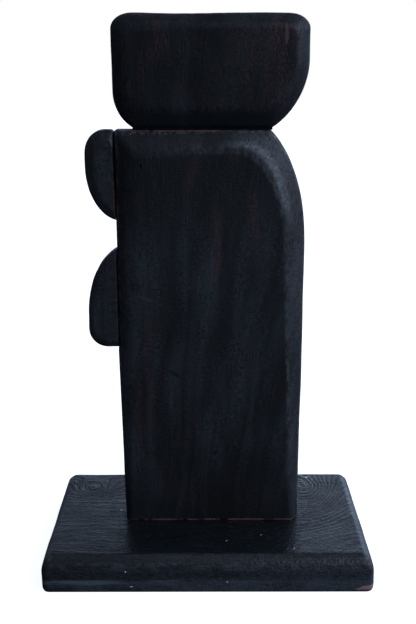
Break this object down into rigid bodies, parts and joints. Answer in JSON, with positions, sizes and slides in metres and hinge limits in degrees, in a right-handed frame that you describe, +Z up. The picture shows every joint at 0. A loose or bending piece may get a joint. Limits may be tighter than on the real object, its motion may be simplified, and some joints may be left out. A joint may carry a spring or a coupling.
{
  "type": "abstract carved figure",
  "caption": "Abstract standing plank figure in black-stained wood: bevelled torso, block head and two side lobes, doweled together and screwed to a bevelled plinth.",
  "frame": {"origin": "on the surface the plinth stands on, under the centre of the plinth", "axes": "+Z is up. The broad front face looks along -Y. The two lobes are on the -X edge and the curved shoulder is towards +X."},
  "size_m": [0.24, 0.14, 0.4],
  "materials": {
    "base_wood": "black wood stain, semi-matte, grain open, edges slightly worn",
    "torso_wood": "black wood stain over red-brown hardwood, semi-matte, grain and fine cross figure showing",
    "head_wood": "black wood stain over red-brown hardwood, thin in streaks, semi-matte",
    "lobe_wood": "black wood stain, semi-matte, bare brown along the glued seam",
    "dowel_beech": "plain fluted beech, unfinished",
    "screw_steel": "zinc-plated steel"
  },
  "bodies": {
    "root": {"base_slab": "base_wood", "torso_block": "torso_wood", "head_block": "head_wood", "chest_lobe": "lobe_wood", "belly_lobe": "lobe_wood", "neck_dowel_left": "dowel_beech", "neck_dowel_right": "dowel_beech", "chest_dowel_upper": "dowel_beech", "chest_dowel_lower": "dowel_beech", "belly_dowel_upper": "dowel_beech", "belly_dowel_lower": "dowel_beech", "base_screw_left": "screw_steel", "base_screw_right": "screw_steel"}
  },
  "joints": []
}
